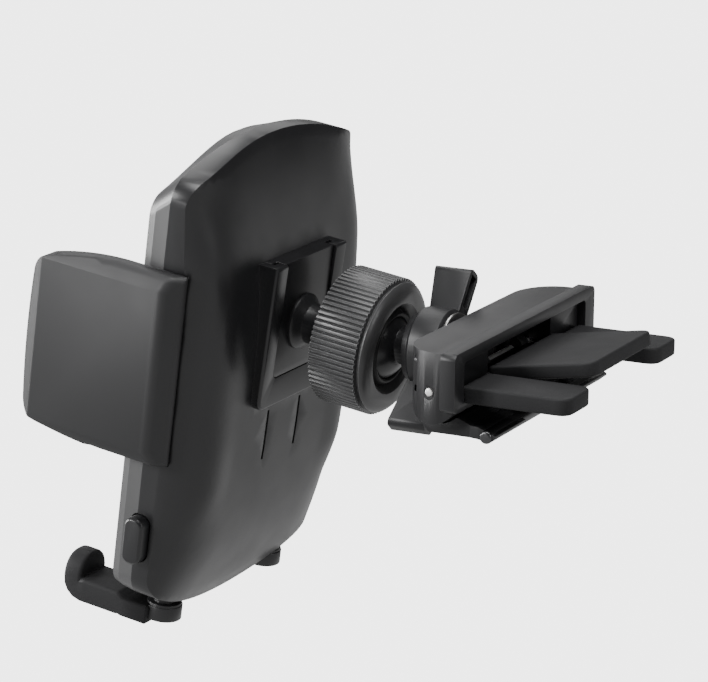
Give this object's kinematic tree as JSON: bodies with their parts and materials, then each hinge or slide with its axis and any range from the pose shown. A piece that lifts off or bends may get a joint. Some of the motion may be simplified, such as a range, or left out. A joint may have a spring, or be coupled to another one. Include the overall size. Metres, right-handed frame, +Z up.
{
  "type": "cd slot phone mount",
  "caption": "Black phone cradle with spring arms and swivelling feet on a ball joint, held in a dashboard disc slot by rubber-covered blades that a wing nut spreads.",
  "frame": {"origin": "centre of the slot housing's rear face, which rests against the dash round the slot", "axes": "+Y the way the blades go into the slot, +Z up, +X along the slot"},
  "size_m": [0.0815, 0.1237, 0.108],
  "materials": {
    "black_plastic": "satin moulded plastic",
    "arm_plastic": "soft satin moulded plastic",
    "nylon": "plain nylon",
    "black_rubber": "matt rubber",
    "steel": "bright steel"
  },
  "bodies": {
    "base": {"base_housing": "black_plastic", "hinge_pin": "steel", "side_blade_left": "black_plastic", "side_blade_right": "black_plastic", "side_sleeve_left": "black_rubber", "side_sleeve_right": "black_rubber", "blade_clamp_left": "black_plastic", "blade_clamp_right": "black_plastic", "blade_screws": "steel", "ball_stem": "black_plastic", "stem_nut": "steel"},
    "clamp_lever": {"clamp_lever": "black_plastic", "centre_blade": "black_plastic", "centre_sleeve": "black_rubber", "lever_bar": "black_plastic", "bar_pin": "steel"},
    "thrust_washer": {"thrust_washer": "steel"},
    "wing_nut": {"wing_nut": "black_plastic"},
    "collet": {"collet": "nylon"},
    "ball_seat": {"ball_seat": "nylon"},
    "cradle": {"socket": "black_plastic", "slide_plate": "black_plastic", "rear_cover": "black_plastic", "front_shell": "black_plastic", "front_pad": "black_rubber", "cover_screws": "steel", "arm_spring_left": "steel", "arm_spring_right": "steel"},
    "lock_nut": {"lock_nut": "black_plastic"},
    "sync_pinion": {"sync_pinion": "nylon"},
    "arm_left": {"arm_left": "arm_plastic", "arm_pad_left": "black_rubber"},
    "arm_right": {"arm_right": "arm_plastic", "arm_pad_right": "black_rubber"},
    "release_button_left": {"release_button_left": "black_plastic"},
    "release_button_right": {"release_button_right": "black_plastic"},
    "foot_left": {"foot_left": "black_plastic", "foot_sleeve_left": "black_rubber"},
    "foot_right": {"foot_right": "black_plastic", "foot_sleeve_right": "black_rubber"}
  },
  "joints": [
    {"name": "washer_slide", "type": "slide", "parent": "base", "child": "thrust_washer", "axis": [0, 1, 0], "range_m": [-0.00106, 0.00027]},
    {"name": "wing_turn", "type": "hinge", "parent": "thrust_washer", "child": "wing_nut", "pos_m": [0, -0.02, -0.0035], "axis": [0, 1, 0], "range_deg": [-250, 60]},
    {"name": "blade_tilt", "type": "hinge", "parent": "base", "child": "clamp_lever", "pos_m": [0, -0.007, -0.0035], "axis": [1, 0, 0], "range_deg": [-9.05, 2.2]},
    {"name": "cradle_turn", "type": "hinge", "parent": "base", "child": "collet", "pos_m": [0, -0.036, -0.0035], "axis": [0, 0, 1], "range_deg": [-7.5, 12.5]},
    {"name": "cradle_tilt", "type": "hinge", "parent": "collet", "child": "ball_seat", "pos_m": [0, -0.036, -0.0035], "axis": [0.999, -0.0436, 0], "range_deg": [-4, 20]},
    {"name": "cradle_roll", "type": "hinge", "parent": "ball_seat", "child": "cradle", "pos_m": [0, -0.036, -0.0035], "axis": [0.0432, 0.9893, -0.1392], "continuous": true},
    {"name": "nut_turn", "type": "hinge", "parent": "cradle", "child": "lock_nut", "pos_m": [0, -0.036, -0.0035], "axis": [0.0432, 0.9893, -0.1392], "range_deg": [-90, 0]},
    {"name": "arm_left_slide", "type": "slide", "parent": "cradle", "child": "arm_left", "axis": [0.9985, -0.0472, -0.0259], "range_m": [0, 0.014]},
    {"name": "arm_right_slide", "type": "slide", "parent": "cradle", "child": "arm_right", "axis": [-0.9985, 0.0472, 0.0259], "range_m": [0, 0.0141]},
    {"name": "pinion_turn", "type": "hinge", "parent": "cradle", "child": "sync_pinion", "pos_m": [-0.00151, -0.06716, -0.00487], "axis": [0.0432, 0.9893, -0.1392], "range_deg": [0, 114.7]},
    {"name": "button_left_press", "type": "slide", "parent": "cradle", "child": "release_button_left", "axis": [-0.9985, 0.0472, 0.0259], "range_m": [0, 0.0018], "stiffness_N_per_m": 600},
    {"name": "button_right_press", "type": "slide", "parent": "cradle", "child": "release_button_right", "axis": [0.9985, -0.0472, -0.0259], "range_m": [0, 0.0018], "stiffness_N_per_m": 600},
    {"name": "foot_left_swivel", "type": "hinge", "parent": "cradle", "child": "foot_left", "pos_m": [0.01753, -0.07672, -0.06406], "axis": [0.0322, 0.1379, 0.9899], "range_deg": [-20, 60]},
    {"name": "foot_right_swivel", "type": "hinge", "parent": "cradle", "child": "foot_right", "pos_m": [-0.02441, -0.07474, -0.06297], "axis": [0.0322, 0.1379, 0.9899], "range_deg": [-60, 20]}
  ],
  "couplings": [
    {"joint": "washer_slide", "follows": "wing_turn", "m_per_rad": 0.00023873},
    {"joint": "blade_tilt", "follows": "wing_turn", "ratio": 0.036},
    {"joint": "arm_right_slide", "follows": "arm_left_slide", "ratio": 1},
    {"joint": "pinion_turn", "follows": "arm_left_slide", "rad_per_m": 142.86}
  ]
}
